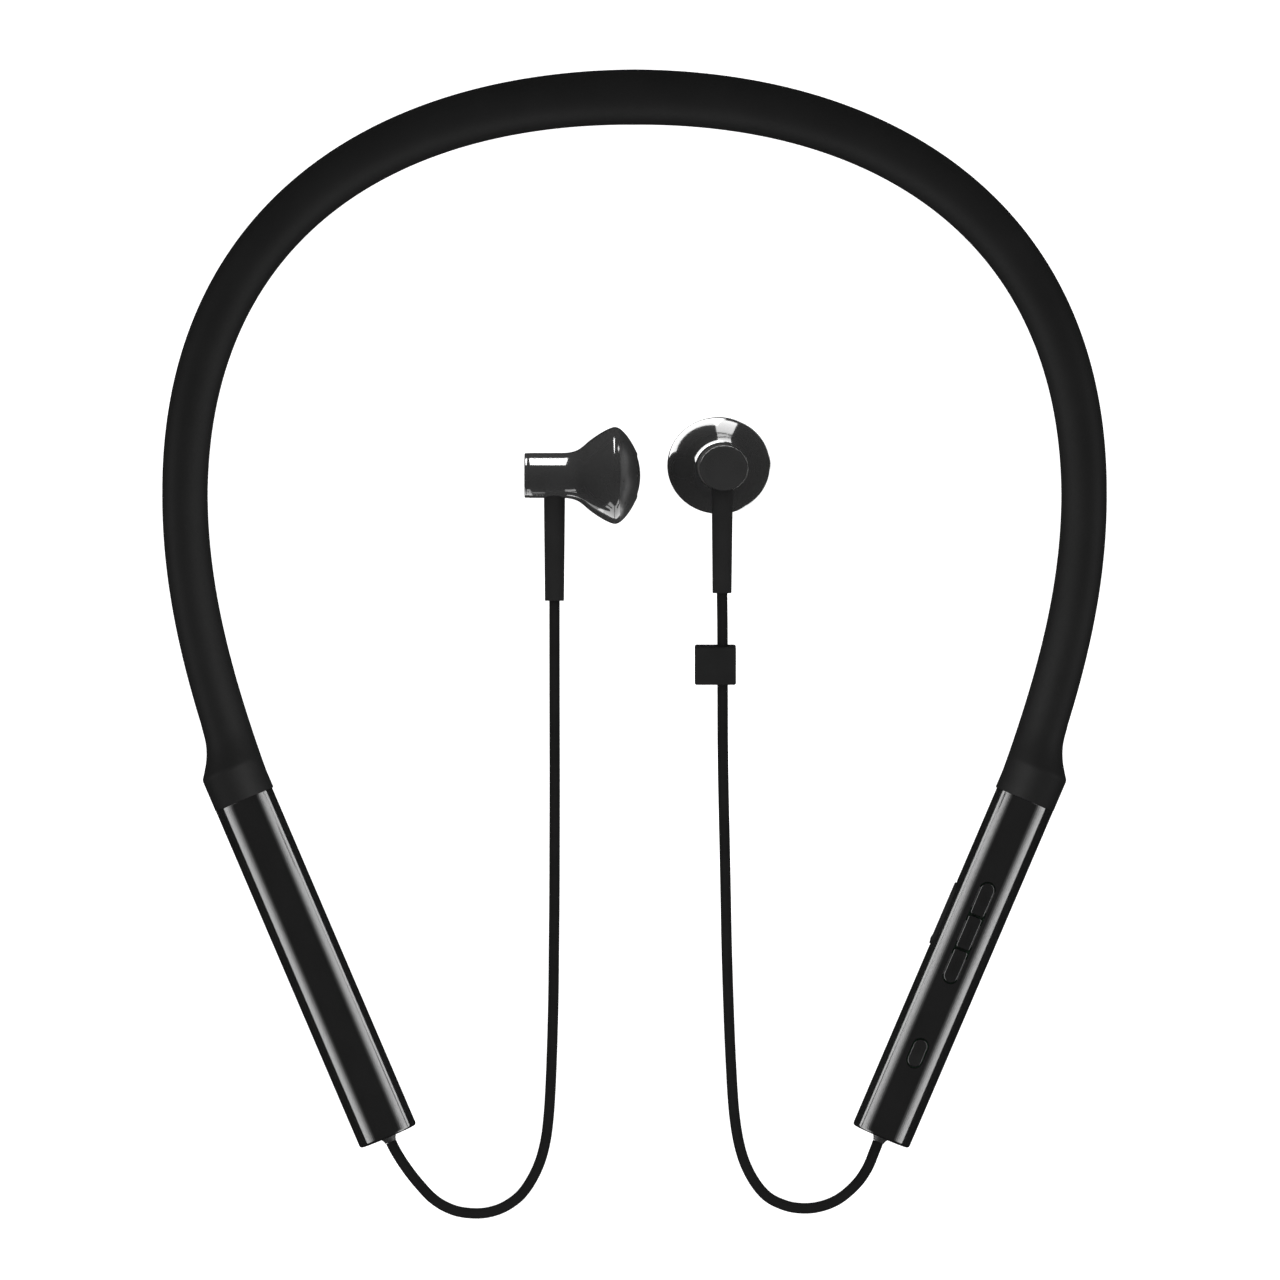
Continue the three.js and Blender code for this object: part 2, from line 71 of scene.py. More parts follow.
# ---------------------------------------------------------------- camera
VIEW_WIDTH = 0.1964  # what the frame spans at the height of the band
VIEW_CENTRE = (0.00084, -0.00483)
BAND_HEIGHT = 0.004
LENS = 300.0
SENSOR = 36.0


def add_camera():
    """A long lens, straight above the object."""
    data = bpy.data.cameras.new("camera")
    data.lens = LENS
    data.sensor_width = SENSOR
    data.clip_start = 0.01
    camera = bpy.data.objects.new("camera", data)
    distance = VIEW_WIDTH * LENS / SENSOR
    camera.location = (*VIEW_CENTRE, BAND_HEIGHT + distance)
    bpy.context.collection.objects.link(camera)
    bpy.context.scene.camera = camera


add_camera()


# ---------------------------------------------------------------- materials
def noise(nodes, links, place, scale, detail=4.0):
    """Noise at a place, with about `scale` cells to the metre."""
    texture = nodes.new("ShaderNodeTexNoise")
    texture.inputs["Scale"].default_value = scale
    texture.inputs["Detail"].default_value = detail
    links.new(place, texture.inputs["Vector"])
    return texture.outputs["Fac"]


def ranged(nodes, links, value, low, high):
    """The noise's usual range, 0.3 to 0.7, spread from low to high."""
    node = nodes.new("ShaderNodeMapRange")
    node.inputs["From Min"].default_value = 0.3
    node.inputs["From Max"].default_value = 0.7
    node.inputs["To Min"].default_value = low
    node.inputs["To Max"].default_value = high
    links.new(value, node.inputs["Value"])
    return node.outputs["Result"]


def surface(name, color, lighter, roughness, metallic=0.0, ior=1.5, coat=0.0,
            patch=300.0, grain=4000.0, depth=0.02, stretch=(1, 1, 1)):
    """A moulded or machined surface: patches of two tones, and a fine grain of height depth,
    in millimetres, which also varies the roughness from roughness[0] to roughness[1]."""
    material = bpy.data.materials.new(name)
    material.use_nodes = True
    nodes, links = material.node_tree.nodes, material.node_tree.links
    shader = nodes["Principled BSDF"]
    shader.inputs["Metallic"].default_value = metallic
    shader.inputs["IOR"].default_value = ior
    shader.inputs["Coat Weight"].default_value = coat
    shader.inputs["Coat Roughness"].default_value = 0.05
    place = nodes.new("ShaderNodeTexCoord").outputs["Object"]
    stretcher = nodes.new("ShaderNodeMapping")
    stretcher.inputs["Scale"].default_value = stretch
    links.new(place, stretcher.inputs["Vector"])
    patches = noise(nodes, links, place, patch)
    fine = noise(nodes, links, stretcher.outputs["Vector"], grain, 6.0)
    tones = nodes.new("ShaderNodeValToRGB")
    tones.color_ramp.elements[0].position = 0.35
    tones.color_ramp.elements[0].color = (*color, 1)
    tones.color_ramp.elements[1].position = 0.75
    tones.color_ramp.elements[1].color = (*lighter, 1)
    links.new(patches, tones.inputs["Fac"])
    links.new(tones.outputs["Color"], shader.inputs["Base Color"])
    links.new(ranged(nodes, links, fine, *roughness), shader.inputs["Roughness"])
    bump = nodes.new("ShaderNodeBump")
    bump.inputs["Strength"].default_value = 1.0
    bump.inputs["Distance"].default_value = depth * MM
    links.new(fine, bump.inputs["Height"])
    links.new(bump.outputs["Normal"], shader.inputs["Normal"])
    return material


def grey(level, warm=0.0):
    """A grey of a linear level, tinted towards red by a share `warm`."""
    return (level * (1 + warm), level, level * (1 - warm))


SILICONE = surface("silicone_matte", grey(0.0035), grey(0.0045), (0.55, 0.68), ior=1.35,
                   patch=120, grain=9000, depth=0.006)
BARREL = surface("barrel_gloss", grey(0.003), grey(0.004), (0.09, 0.13), coat=0.4,
                 patch=200, grain=2500, depth=0.0004)
GLOSS = surface("earbud_gloss", grey(0.0175), grey(0.0205), (0.08, 0.12), coat=0.3,
                patch=250, grain=2500, depth=0.0003)
FRONT = surface("front_soft_gloss", grey(0.0125), grey(0.015), (0.27, 0.35),
                patch=250, grain=2500, depth=0.0003)
KEY = surface("key_satin_gloss", grey(0.0035), grey(0.0045), (0.16, 0.22),
              patch=500, grain=7000, depth=0.002)
SATIN = surface("satin_rubber", grey(0.0115), grey(0.0135), (0.5, 0.62), ior=1.35,
                patch=300, grain=8000, depth=0.004)
CLIP = surface("clip_satin", grey(0.0095), grey(0.0115), (0.45, 0.55), ior=1.35,
               patch=400, grain=6000, depth=0.006)
CORD = surface("cord_jacket", grey(0.006), grey(0.008), (0.5, 0.62), ior=1.35,
               patch=250, grain=9000, depth=0.004)
LENS_FINISH = surface("window_smoked", grey(0.004), grey(0.006), (0.04, 0.08), coat=0.6,
                      patch=400, grain=2500, depth=0.0004)
STEEL = surface("steel_plain", grey(0.42, 0.02), grey(0.52, 0.02), (0.25, 0.4), metallic=1.0,
                patch=500, grain=3000, depth=0.002, stretch=(1, 6, 1))
MAGNET = surface("nickel_plate", grey(0.38, 0.03), grey(0.45, 0.03), (0.18, 0.28), metallic=1.0,
                 patch=600, grain=2500, depth=0.001)
SPRING = surface("spring_wire", grey(0.3), grey(0.38), (0.25, 0.35), metallic=1.0,
                 patch=700, grain=3500, depth=0.002, stretch=(1, 1, 5))
CARRIER = surface("carrier_plastic", grey(0.02), grey(0.028), (0.5, 0.65),
                  patch=500, grain=5000, depth=0.01)
BOARD = surface("solder_mask", (0.006, 0.06, 0.02), (0.01, 0.09, 0.03), (0.3, 0.42), coat=0.2,
                patch=900, grain=5000, depth=0.006)
CELL = surface("cell_wrap", (0.22, 0.24, 0.27), (0.3, 0.32, 0.34), (0.3, 0.42), metallic=0.6,
               patch=400, grain=4000, depth=0.004)
FILM = surface("diaphragm_film", (0.16, 0.14, 0.09), (0.2, 0.18, 0.12), (0.25, 0.35),
               patch=900, grain=5000, depth=0.004)
MESH_FINISH = surface("grille_mesh", grey(0.03), grey(0.05), (0.3, 0.42), metallic=0.9,
                      patch=900, grain=5000, depth=0.003)


# ---------------------------------------------------------------- making pieces
def new_piece(name, points, faces, material, sharp=35):
    """A mesh piece from points in metres, smooth except at edges sharper than `sharp`."""
    mesh = bpy.data.meshes.new(name)
    mesh.from_pydata(points, [], faces)
    shape = bmesh.new()
    shape.from_mesh(mesh)
    bmesh.ops.remove_doubles(shape, verts=shape.verts, dist=1e-7)
    bmesh.ops.recalc_face_normals(shape, faces=shape.faces)
    shape.to_mesh(mesh)
    shape.free()
    mesh.shade_smooth()
    mesh.set_sharp_from_angle(angle=math.radians(sharp))
    mesh.materials.append(material)
    piece = bpy.data.objects.new(name, mesh)
    bpy.context.collection.objects.link(piece)
    return piece


def settle(piece, body, slot, *nodes):
    """The piece stands for these CAD nodes and moves with the body."""
    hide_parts(*nodes)
    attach(piece, body)
    return piece


def skin(rings, wrap=False):
    """Points and faces of a tube through rings of equal length. Its ends are closed by a
    fan, unless the last ring wraps round to the first."""
    count = len(rings[0])
    points = [p for ring in rings for p in ring]
    faces = []
    pairs = len(rings) if wrap else len(rings) - 1
    for i in range(pairs):
        low, high = i * count, (i + 1) % len(rings) * count
        for j in range(count):
            k = (j + 1) % count
            faces.append((low + j, low + k, high + k, high + j))
    if not wrap:
        for first in (0, (len(rings) - 1) * count):
            ring = points[first:first + count]
            points.append(sum(ring, Vector()) / count)
            faces += [(first + j, first + (j + 1) % count, len(points) - 1) for j in range(count)]
    return points, faces


def turned(outline, sides, matrix, oval=1.0, wrap=False):
    """Points and faces of an outline of (radius, height) turned around the Y axis, in mm."""
    rings = []
    for radius, height in outline:
        ring = []
        for k in range(sides):
            angle = math.tau * k / sides
            local = Vector((radius * math.sin(angle), height, radius * oval * math.cos(angle)))
            ring.append(matrix @ (local * MM))
        rings.append(ring)
    return skin(rings, wrap)


def eased(points, per=6):
    """A smooth line through the points, as a Catmull-Rom curve with `per` steps a stretch."""
    ends = [points[0], *points, points[-1]]
    line = []
    for a, b, c, d in zip(ends, ends[1:], ends[2:], ends[3:]):
        for step in range(per):
            t = step / per
            line.append(tuple(
                0.5 * (2 * q + (r - p) * t + (2 * p - 5 * q + 4 * r - s) * t * t
                       + (3 * q - p - 3 * r + s) * t ** 3)
                for p, q, r, s in zip(a, b, c, d)))
    return [*line, tuple(points[-1])]


def corner(centre, radius, start, end, steps=5):
    """Points of a round corner in an outline, from one angle to another, in degrees."""
    turn = [math.radians(start + (end - start) * k / steps) for k in range(steps + 1)]
    return [(centre[0] + radius * math.cos(a), centre[1] + radius * math.sin(a)) for a in turn]


def without(piece, cutters):
    """Cuts the cutters out of the piece and removes them."""
    for cutter in cutters:
        cut = piece.modifiers.new("cut", "BOOLEAN")
        cut.operation = "DIFFERENCE"
        cut.solver = "EXACT"
        cut.object = cutter
    bpy.context.view_layer.update()
    graph = bpy.context.evaluated_depsgraph_get()
    mesh = bpy.data.meshes.new_from_object(piece.evaluated_get(graph))
    piece.modifiers.clear()
    piece.data = mesh
    for cutter in cutters:
        bpy.data.objects.remove(cutter)
    mesh.shade_smooth()
    mesh.set_sharp_from_angle(angle=math.radians(35))
    return piece


# ---------------------------------------------------------------- frames of the sub-assemblies
def middle(node):
    """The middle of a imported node's box."""
    low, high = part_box(node)
    return (low + high) / 2


TILT = math.radians(23.2)  # the barrels lean in towards each other
BARREL_LENGTH = 56.2
CUFF_GAP = 0.3  # from the cuff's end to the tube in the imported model
TUBE_REACH = 0.02  # the tube shown here closes that gap and reaches this far into the cuff
BARREL_RADIUS = 4.68
BARREL_INNER = 3.9


def barrel_frame(side):
    """From barrel coordinates, with the cuff's end at Y = 0 and the cord's end below."""
    lean = Matrix.Rotation(TILT if side == "left" else -TILT, 4, "Z")
    tube_middle = Vector((0, (BARREL_LENGTH + CUFF_GAP) / 2 * MM, 0))
    return Matrix.Translation(middle(f"barrel_tube_{side}")) @ lean @ Matrix.Translation(tube_middle)


RIGHT_LEAN = (math.radians(2.6), math.radians(2.7))  # about X, then about Y
MAGNET_ALONG = 6.4  # the middle of a driver's magnet, from the strain relief's axis


def earbud_frame(side):
    """From earbud coordinates, with the grille towards +Y and the strain relief along +X."""
    turn = Matrix.Rotation(-math.pi / 2, 4, "Z")
    if side == "right":
        lean = Matrix.Rotation(RIGHT_LEAN[1], 4, "Y") @ Matrix.Rotation(RIGHT_LEAN[0], 4, "X")
        turn = lean @ Matrix.Rotation(math.pi / 2, 4, "Y") @ turn
    centre = middle(f"driver_magnet_{side}") - turn @ Vector((0, MAGNET_ALONG * MM, 0))
    return Matrix.Translation(centre) @ turn


# ---------------------------------------------------------------- cords
CORD_DIAMETER = 0.00165
ROUTES = {
    "left": [
        (-0.03735, -0.08179, 0.00472), (-0.0367, -0.0831, 0.00464), (-0.0353, -0.0854, 0.00405),
        (-0.0333, -0.0881, 0.003), (-0.0308, -0.0908, 0.00175), (-0.028, -0.0924, 0.001),
        (-0.0252, -0.09295, 0.00084), (-0.0224, -0.0928, 0.00084), (-0.0197, -0.0918, 0.00084),
        (-0.0172, -0.0898, 0.00084), (-0.0151, -0.0864, 0.00084), (-0.01385, -0.0826, 0.00084),
        (-0.0132, -0.078, 0.00084), (-0.0128, -0.071, 0.00084), (-0.0125, -0.061, 0.00084),
        (-0.01238, -0.051, 0.00084), (-0.01231, -0.043, 0.00095), (-0.01228, -0.035, 0.0017),
        (-0.01225, -0.027, 0.0032), (-0.01225, -0.019, 0.0051), (-0.01225, -0.011, 0.0068),
        (-0.01225, -0.004, 0.00775), (-0.01225, 0.0022, 0.00797),
    ],
    "right": [
        (0.03735, -0.08179, 0.00472), (0.03685, -0.0831, 0.00464), (0.0357, -0.0859, 0.004),
        (0.034, -0.0884, 0.003), (0.0314, -0.0907, 0.00175), (0.0286, -0.0919, 0.001),
        (0.0258, -0.0922, 0.00084), (0.023, -0.0917, 0.00084), (0.0202, -0.0902, 0.00084),
        (0.0179, -0.0872, 0.00084), (0.0163, -0.0832, 0.00084), (0.01532, -0.0775, 0.00084),
        (0.01477, -0.069, 0.00084), (0.01441, -0.06, 0.00095), (0.01415, -0.0515, 0.00195),
        (0.01398, -0.0435, 0.00385), (0.0138, -0.0355, 0.0061), (0.01362, -0.028, 0.00805),
        (0.0135, -0.0205, 0.0095), (0.01347, -0.0145, 0.01045), (0.01345, -0.0086, 0.01132),
        (0.01343, -0.003, 0.012), (0.0134, -0.0003, 0.0122), (0.01336, 0.0033, 0.01237),
    ],
}


def add_cord(side, with_pieces=()):
    """The free cord from a barrel to its earbud's strain relief."""
    line = eased(ROUTES[side], per=8)
    data = bpy.data.curves.new(f"cord_{side}_jacket", "CURVE")
    data.dimensions = "3D"
    data.bevel_depth = CORD_DIAMETER / 2
    data.bevel_resolution = 6
    data.use_fill_caps = True
    spline = data.splines.new("POLY")
    spline.points.add(len(line) - 1)
    for point, place in zip(spline.points, line):
        point.co = (*place, 1)
    spline.use_smooth = True
    data.materials.append(CORD)
    piece = bpy.data.objects.new(data.name, data)
    bpy.context.collection.objects.link(piece)
    settle(piece, f"{side}_arm", "cord_jacket", f"cord_{side}")


# ---------------------------------------------------------------- cable clip
CLIP_SIZE = (6.3, 5.8, 3.8)
CLIP_SLOPE = math.atan(0.14)  # the cord falls this steeply where the clip sits
CLIP_BORE = {"side": 1.1, "radius": 1.0}
CLIP_SLOT = {"side": -1.75, "radius": 0.9, "mouth": 1.2}
CLIP_EDGE = 0.3
CUT_LENGTH = 12  # of the cutters, which run right through the clip


def clip_matrix():
    """From clip coordinates, with the cord along Y."""
    return Matrix.Translation(middle("cable_clip")) @ Matrix.Rotation(CLIP_SLOPE, 4, "X")


def rod(name, hole, matrix, sides=40):
    """A round cutter along Y for a hole of the clip."""
    outline = [(hole["radius"], -CUT_LENGTH / 2), (hole["radius"], CUT_LENGTH / 2)]
    shift = Matrix.Translation((hole["side"] * MM, 0, 0))
    return new_piece(name, *turned(outline, sides, matrix @ shift), CLIP)


def rounded_block(name, size, radius, matrix, material, segments=4):
    """A block of a size in millimetres, with rounded edges and corners."""
    shape = bmesh.new()
    bmesh.ops.create_cube(shape, size=1, matrix=Matrix.Diagonal((*size, 1)))
    bmesh.ops.bevel(shape, geom=shape.edges[:], offset=radius, segments=segments, profile=0.5,
                    affect="EDGES")
    bmesh.ops.scale(shape, vec=(MM, MM, MM), verts=shape.verts)
    bmesh.ops.transform(shape, matrix=matrix, verts=shape.verts)
    points = [v.co.copy() for v in shape.verts]
    faces = [tuple(v.index for v in f.verts) for f in shape.faces]
    shape.free()
    return new_piece(name, points, faces, material)


def add_clip():
    """A block with a bore for its own cord and an open slot for the other one."""
    place = clip_matrix()
    body = rounded_block("clip_body", CLIP_SIZE, CLIP_EDGE, place, CLIP)
    bore = rod("clip_bore", CLIP_BORE, place)
    slot = rod("clip_slot", CLIP_SLOT, place)
    mouth_width = 4.0
    mouth_middle = CLIP_SLOT["side"] - mouth_width / 2
    mouth = rounded_block(
        "clip_mouth", (mouth_width, CUT_LENGTH, CLIP_SLOT["mouth"]), 0.1,
        place @ Matrix.Translation((mouth_middle * MM, 0, 0)), CLIP)
    return settle(without(body, [bore, slot, mouth]), "cable_clip", "satin_plastic", "cable_clip")


add_cord("left")
add_cord("right", [add_clip()])


# ---------------------------------------------------------------- neckband
# The centreline of the band's right half, from the nape, as two Bezier curves.
BAND_CURVES = [
    [(0, 78.5, 3.4), (38.6, 78.5, 3.44), (69, 59.2, 3.5), (69, 17.5, 3.5)],
    [(69, 17.5, 3.5), (69, 3.6, 3.5), (65.7, -10, 3.66), (59.8, -26.3, 4.4)],
]
BAND_TO_WIDEST = 104.0  # millimetres along the band, from its middle
HALF_WIDTH = {"rear": 4.26, "side": 3.5, "cuff": 3.66}
HALF_HEIGHT = {"rear": 3.4, "side": 3.5, "cuff": 3.58}
CUFF = {"radius": 4.72, "edge": 0.1}
# How far the cuff stands out from the barrel's axis on its outer side, by height above its end.
CUFF_LINE = [(-0.1, 4.72), (2.5, 4.72), (4.6, 4.72), (5.1, 4.7), (5.4, 4.58), (5.75, 4.32),
             (6.3, 3.93), (7.3, 3.26), (8.3, 2.72), (9.2, 2.34), (10.2, 2.03), (11.2, 1.84),
             (12.2, 1.7), (13, 1.55), (14, 1.2), (16, 0)]
BAND_SIDES = 72
BAND_STEP = 0.9  # millimetres between rings
CUFF_STEP = 0.3
CURVE_STEPS = 400
CUFF_REACH = 14.0  # the cuff shapes this much of the band
# The band turns into the barrel's direction between these distances from its curve's end.
CUFF_TURN = (16, 2)
# Rings of the straight cuff, as shares of its length.
CUFF_RINGS = (0.12, 0.25, 0.4, 0.55, 0.7, 0.82, 0.9, 0.93, 0.95, 0.97, 0.985, 0.995, 1)


def bezier(points, t):
    """The point of a Bezier curve at a share t of its way."""
    a, b, c, d = (Vector(p) for p in points)
    return (1 - t) ** 3 * a + 3 * (1 - t) ** 2 * t * b + 3 * (1 - t) * t * t * c + t ** 3 * d


def curve_line(a, b, c, d, steps):
    """Points (radius, height) of an outline that follows a Bezier curve."""
    return [tuple(bezier((a, b, c, d), k / steps)) for k in range(steps + 1)]


def lerp(a, b, share):
    return a + (b - a) * share


def smoothstep(low, high, value):
    share = min(max((value - low) / (high - low), 0), 1)
    return share * share * (3 - 2 * share)


def band_line():
    """Points of the right half's centreline, with their distance along it."""
    fine = [bezier(c, k / CURVE_STEPS) for c in BAND_CURVES for k in range(CURVE_STEPS)]
    fine.append(Vector(BAND_CURVES[-1][-1]))
    whole = sum((b - a).length for a, b in zip(fine, fine[1:]))
    stations, travelled, wanted = [], 0.0, 0.0
    for a, b in zip(fine, fine[1:]):
        reach = (b - a).length
        while wanted <= travelled + reach:
            stations.append((wanted, lerp(a, b, (wanted - travelled) / reach)))
            wanted += CUFF_STEP if wanted > whole - CUFF_REACH else BAND_STEP
        travelled += reach
    return stations, whole


def along_band(sizes, distance, whole):
    """A half size of the band at a distance from its middle."""
    if distance < BAND_TO_WIDEST:
        return lerp(sizes["rear"], sizes["side"], distance / BAND_TO_WIDEST)
    share = (distance - BAND_TO_WIDEST) / (whole - BAND_TO_WIDEST)
    return lerp(sizes["side"], sizes["cuff"], min(share, 1))


def on_line(line, value):
    """The second coordinate of a line where its first is `value`."""
    for (x0, y0), (x1, y1) in zip(line, line[1:]):
        if x0 <= value <= x1:
            return lerp(y0, y1, (value - x0) / (x1 - x0))
    return line[-1][1]


def band_ring(centre, heading, distance, whole, joint, axis):
    """One oval ring of the sleeve, which widens outwards and upwards into the round cuff."""
    out = Vector((-heading.y, heading.x, 0))
    across = along_band(HALF_WIDTH, distance, whole)
    height = along_band(HALF_HEIGHT, distance, whole)
    low, high = centre.z - height, centre.z + height
    up = (joint - centre).dot(axis)
    grow, edge = 0.0, 0.0
    if up < CUFF_REACH:
        edge_of_band = (centre - joint + axis * up).dot(out) + across
        grow = max(on_line(CUFF_SHAPE, up) - edge_of_band, 0)
        share = min(grow / (CUFF["radius"] - edge_of_band), 1)
        low, high = lerp(low, 0.0, share), lerp(high, 2 * CUFF["radius"], share)
        edge = CUFF["edge"] * (1 - smoothstep(0, CUFF["edge"], up))
    ring = []
    for k in range(BAND_SIDES):
        angle = math.tau * k / BAND_SIDES
        shift = grow / 2 + (across + grow / 2 - edge) * math.sin(angle)
        rise = (low + high) / 2 + ((high - low) / 2 - edge) * math.cos(angle) - centre.z
        ring.append(centre + out * shift + Vector((0, 0, rise)))
    return ring


CUFF_SHAPE = eased(CUFF_LINE, 5)


def sleeve_rings():
    """Rings of the right half of the sleeve, from the nape to the cuff's open end."""
    stations, whole = band_line()
    place = barrel_frame("right")
    joint = place.to_translation() / MM
    axis = (place.to_3x3() @ Vector((0, -1, 0))).normalized()
    end = Vector(BAND_CURVES[-1][-1])
    rest = (joint - end).dot(axis)
    for share in CUFF_RINGS:
        stations.append((whole + rest * share, end + axis * rest * share))
    rings = []
    for i, (distance, centre) in enumerate(stations):
        before = stations[max(i - 1, 0)][1]
        after = stations[min(i + 1, len(stations) - 1)][1]
        heading = (after - before).normalized()
        if i == 0:
            heading = Vector((1, 0, 0))
        turn = smoothstep(whole - CUFF_TURN[0], whole - CUFF_TURN[1], distance)
        heading = heading.lerp(axis, turn)
        heading.z = 0
        rings.append(band_ring(centre, heading.normalized(), distance, whole, joint, axis))
    return rings


def add_sleeves():
    """Two halves of one sleeve that meet at the nape, in place of the imported sleeve nodes."""
    rings = sleeve_rings()
    for side in SIDES:
        mirror = Vector((-MM if side == "left" else MM, MM, MM))
        points, faces = skin([[p * mirror for p in ring] for ring in rings])
        piece = new_piece(f"sleeve_{side}_skin", points, faces, SILICONE, sharp=50)
        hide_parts(f"sleeve_{side}", "sleeve_rear")
        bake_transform(piece)


add_sleeves()


# ---------------------------------------------------------------- barrels
END_ROUND = 0.45
TUBE_SIDES = 128
TUBE_RINGS = 90
BORE_RINGS = 60
TUBE_RIM = 0.04
# Keys, window and port: sizes and the place along the barrel, and the height above the axis
# where each cap starts.
KEYS = {"names": ("volume_up", "play", "volume_down"), "length": 5.2, "width": 2.15,
        "pitch": 5.55, "middle": -22.1, "proud": 0.2, "floor": 3.3}
KEY_SLOT = (16.75, 2.55)
KEY_CORNER = 0.3
WINDOW = {"length": 4.3, "width": 2.1, "middle": -42.1, "floor": 3.4}
PORT = {"length": 10.2, "height": 3.2, "middle": -20.9, "proud": 0.25, "floor": 3.3}
OPENING_MARGIN = 0.25
ROUND_STEPS = 8
SIDE_STEPS = 10


def stadium(length, width, inset=0.0, low=None, high=None):
    """Outline points (across, along) of a slot, drawn in by inset. Its ends are round, or
    have corners of the radius given."""
    half_width, half_length = width / 2 - inset, length / 2 - inset
    high = max((high or width / 2) - inset, 0.02)
    low = max((low or width / 2) - inset, 0.02)
    corners = []
    for start, side, end, radius in ((0, 1, 1, high), (90, -1, 1, high), (180, -1, -1, low),
                                     (270, 1, -1, low)):
        radius = min(radius, half_width)
        centre = (side * (half_width - radius), end * (half_length - radius))
        corners.append(corner(centre, radius, start, start + 90, ROUND_STEPS))
    points = []
    for this, following in zip(corners, corners[1:] + corners[:1]):
        points += this
        first, last = this[-1], following[0]
        points += [(lerp(first[0], last[0], k / SIDE_STEPS), lerp(first[1], last[1], k / SIDE_STEPS))
                   for k in range(1, SIDE_STEPS)]
    return points


def around(across, along, height, quarter):
    """A point at a height above the barrel's axis: quarter 0 is the top, 1 the inner side."""
    return Vector((across, along, height)) if quarter == 0 else Vector((-height, along, across))


def slot_cutter(name, size, at, quarter, matrix):
    """A cutter for a round-ended opening in the tube's wall, with a small chamfer outside."""
    length, width = size
    rings = []
    for height, grow in ((3.0, 0), (BARREL_RADIUS - 0.2, 0), (BARREL_RADIUS + 1, 0.3)):
        outline = stadium(length + 2 * grow, width + 2 * grow)
        rings.append([matrix @ (around(x, y + at, height, quarter) * MM) for x, y in outline])
    return new_piece(name, *skin(rings), BARREL)


def tube_outline():
    """The tube's wall, with short steps along it so that its openings stay smooth."""
    low, high = -BARREL_LENGTH, TUBE_REACH
    outer = [(BARREL_RADIUS, low + END_ROUND + (high - low - END_ROUND) * k / TUBE_RINGS)
             for k in range(TUBE_RINGS)]
    outer += corner((BARREL_RADIUS - TUBE_RIM, high - TUBE_RIM), TUBE_RIM, 0, 90)
    inner = [(BARREL_INNER, high + (low + 0.2 - high) * k / BORE_RINGS)
             for k in range(BORE_RINGS + 1)]
    end = corner((BARREL_RADIUS - END_ROUND, low + END_ROUND), END_ROUND, -90, 0, 8)[:-1]
    return outer + inner + [(BARREL_INNER + 0.08, low), *end]


def add_tube(side):
    """A barrel's tube; the right one has openings for the keys, window and port."""
    place = barrel_frame(side)
    shell = new_piece(f"barrel_{side}_shell", *turned(tube_outline(), TUBE_SIDES, place, wrap=True),
                      BARREL)
    if side == "right":
        margin = 2 * OPENING_MARGIN
        shell = without(shell, [
            slot_cutter("key_slot", KEY_SLOT, KEYS["middle"], 0, place),
            slot_cutter("window_hole", (WINDOW["length"] + margin, WINDOW["width"] + margin),
                        WINDOW["middle"], 0, place),
            slot_cutter("port_hole", (PORT["length"] + margin, PORT["height"] + margin),
                        PORT["middle"], 1, place),
        ])
    settle(shell, f"{side}_arm", "barrel_black", f"barrel_tube_{side}")


def pillow(length, width, at, floor, top_radius, edge, quarter, matrix,
           rise=lambda x, y: 0.0, low=None, high=None):
    """A round-ended cap whose top follows a cylinder of top_radius, with rounded edges."""
    layers = [(0.0, None), (0.0, edge + 0.2)]
    for k in range(6):
        angle = math.pi / 2 * k / 5
        layers.append((edge * (1 - math.cos(angle)), edge * (1 - math.sin(angle))))
    steps = 7
    widest = width / 2 - 0.02
    layers += [(lerp(edge, widest, k / steps), 0.0) for k in range(1, steps + 1)]
    rings = []
    for inset, drop in layers:
        ring = []
        for x, y in stadium(length, width, inset, low, high):
            top = math.sqrt(top_radius ** 2 - x * x) + rise(x, y) * smoothstep(0, edge * 2, inset)
            height = floor if drop is None else top - drop
            ring.append(matrix @ (around(x, y + at, height, quarter) * MM))
        rings.append(ring)
    return skin(rings)


def key_middle(index):
    """Where a key sits along the barrel."""
    return KEYS["middle"] + (1 - index) * KEYS["pitch"]


def key_dish(index):
    """The middle key is crowned, and the outer ones are dished for the fingertip."""
    sign = 0.07 if index == 1 else -0.06
    return lambda x, y: sign * math.exp(-(y / 1.3) ** 2 - (x / 0.8) ** 2)


def add_controls():
    """The keys, the window's lens and the port cover, all on the right barrel."""
    place = barrel_frame("right")
    for index, name in enumerate(KEYS["names"]):
        cap = pillow(KEYS["length"], KEYS["width"], key_middle(index), KEYS["floor"],
                     BARREL_RADIUS + KEYS["proud"], 0.16, 0, place, key_dish(index),
                     low=None if index == 2 else KEY_CORNER,
                     high=None if index == 0 else KEY_CORNER)
        piece = new_piece(f"key_{name}_cap", *cap, KEY)
        settle(piece, f"key_{name}", "key_black", f"key_{name}")
    lens = pillow(WINDOW["length"], WINDOW["width"], WINDOW["middle"], WINDOW["floor"],
                  BARREL_RADIUS, 0.08, 0, place)
    settle(new_piece("window_lens", *lens, LENS_FINISH), "right_arm", "lens", "led_window")
    lip_at = -PORT["length"] / 2 + 0.9

    def lip(x, y):
        """A low ridge for a fingernail near the cover's free end."""
        return 0.12 * math.exp(-((y - lip_at) / 0.35) ** 2)

    cover = pillow(PORT["length"], PORT["height"], PORT["middle"], PORT["floor"],
                   BARREL_RADIUS + PORT["proud"] - 0.05, 0.2, 1, place, lip)
    settle(new_piece("port_cover_plug", *cover, SATIN), "port_cover", "satin_rubber", "port_cover")


